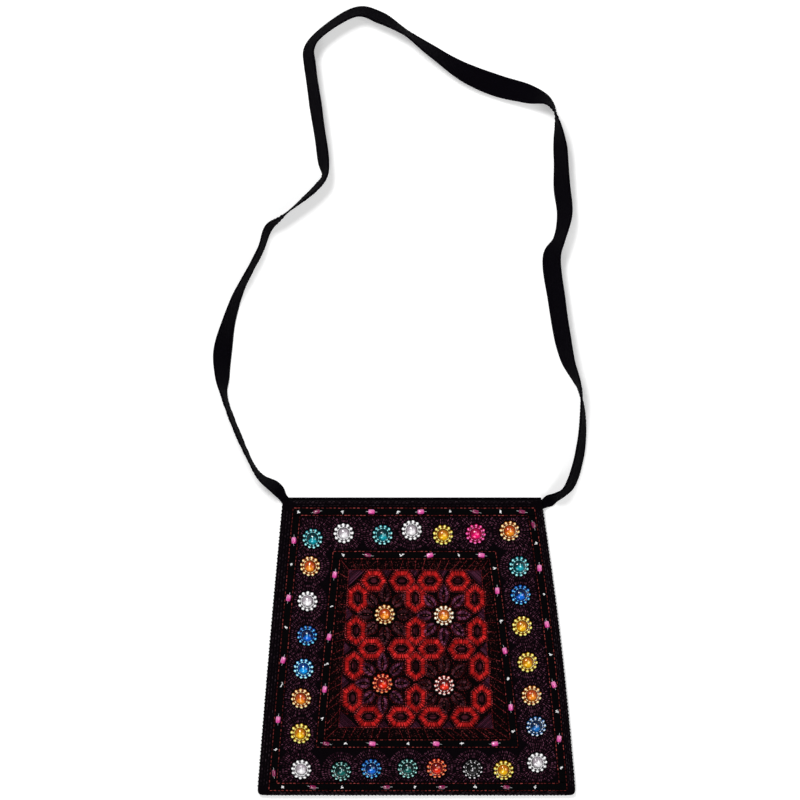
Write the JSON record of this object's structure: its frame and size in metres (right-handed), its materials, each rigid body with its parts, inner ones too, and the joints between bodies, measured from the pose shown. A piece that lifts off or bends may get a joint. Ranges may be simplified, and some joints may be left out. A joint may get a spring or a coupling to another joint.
{
  "type": "shoulder bag",
  "caption": "Flat trapezoid cloth shoulder bag with an embroidered and studded front, beaded ribbons and a long flat strap, lying on its back.",
  "frame": {"origin": "middle of the bag's outline on the surface that its back lies on, the strap left out", "axes": "+Z out of the embroidered front, +Y towards the mouth and the strap, +X to the right seen from the front"},
  "size_m": [0.3402, 0.7189, 0.0216],
  "materials": {
    "black_cloth": "plain woven cotton, matte, near black",
    "embroidered_cloth": "black cotton under dark plum embroidery thread",
    "lining_cloth": "thin plain lining, slight sheen",
    "medallion_embroidery": "brick red and plum satin stitch",
    "strap_cloth": "flat folded cotton band, matte black",
    "ribbon": "smooth black ribbon with red running stitch along both edges",
    "pink_beads": "glossy pink, with small clear beads between",
    "stud_teal": "moulded acrylic with a foil back, teal",
    "stud_clear": "moulded acrylic with a foil back, clear",
    "stud_gold": "moulded acrylic with a foil back, gold",
    "stud_magenta": "moulded acrylic with a foil back, magenta",
    "stud_amber": "moulded acrylic with a foil back, amber",
    "stud_blue": "moulded acrylic with a foil back, blue",
    "stud_bright_blue": "moulded acrylic with a foil back, bright blue",
    "stud_dark_teal": "moulded acrylic with a foil back, dark teal",
    "stud_orange_red": "moulded acrylic with a foil back, orange red",
    "stud_smoky": "moulded acrylic with a foil back, smoky",
    "stud_pale_amber": "moulded acrylic with a foil back, pale amber",
    "stud_red": "moulded acrylic with a foil back, red",
    "stud_silver_blue": "moulded acrylic with a foil back, silver blue"
  },
  "bodies": {
    "root": {"back_panel": "black_cloth", "front_panel": "embroidered_cloth", "lining_front": "lining_cloth", "lining_back": "lining_cloth", "centre_patch": "medallion_embroidery", "strap": "strap_cloth", "outer_ribbon_top": "ribbon", "outer_ribbon_bottom": "ribbon", "outer_ribbon_left": "ribbon", "outer_ribbon_right": "ribbon", "inner_ribbon_top": "ribbon", "inner_ribbon_bottom": "ribbon", "inner_ribbon_left": "ribbon", "inner_ribbon_right": "ribbon", "outer_beads_top": "pink_beads", "outer_beads_bottom": "pink_beads", "outer_beads_left": "pink_beads", "outer_beads_right": "pink_beads", "inner_beads_top": "pink_beads", "inner_beads_bottom": "pink_beads", "inner_beads_left": "pink_beads", "inner_beads_right": "pink_beads", "stud_top_1": "stud_teal", "stud_top_2": "stud_clear", "stud_top_3": "stud_teal", "stud_top_4": "stud_clear", "stud_top_5": "stud_gold", "stud_top_6": "stud_magenta", "stud_top_7": "stud_amber", "stud_left_1": "stud_amber", "stud_left_2": "stud_clear", "stud_left_3": "stud_blue", "stud_left_4": "stud_bright_blue", "stud_left_5": "stud_amber", "stud_left_6": "stud_gold", "stud_right_1": "stud_teal", "stud_right_2": "stud_blue", "stud_right_3": "stud_gold", "stud_right_4": "stud_gold", "stud_right_5": "stud_amber", "stud_right_6": "stud_silver_blue", "stud_bottom_1": "stud_clear", "stud_bottom_2": "stud_dark_teal", "stud_bottom_3": "stud_blue", "stud_bottom_4": "stud_dark_teal", "stud_bottom_5": "stud_orange_red", "stud_bottom_6": "stud_smoky", "stud_bottom_7": "stud_gold", "stud_bottom_8": "stud_clear", "stud_centre_1": "stud_amber", "stud_centre_2": "stud_pale_amber", "stud_centre_3": "stud_orange_red", "stud_centre_4": "stud_red"}
  },
  "joints": []
}
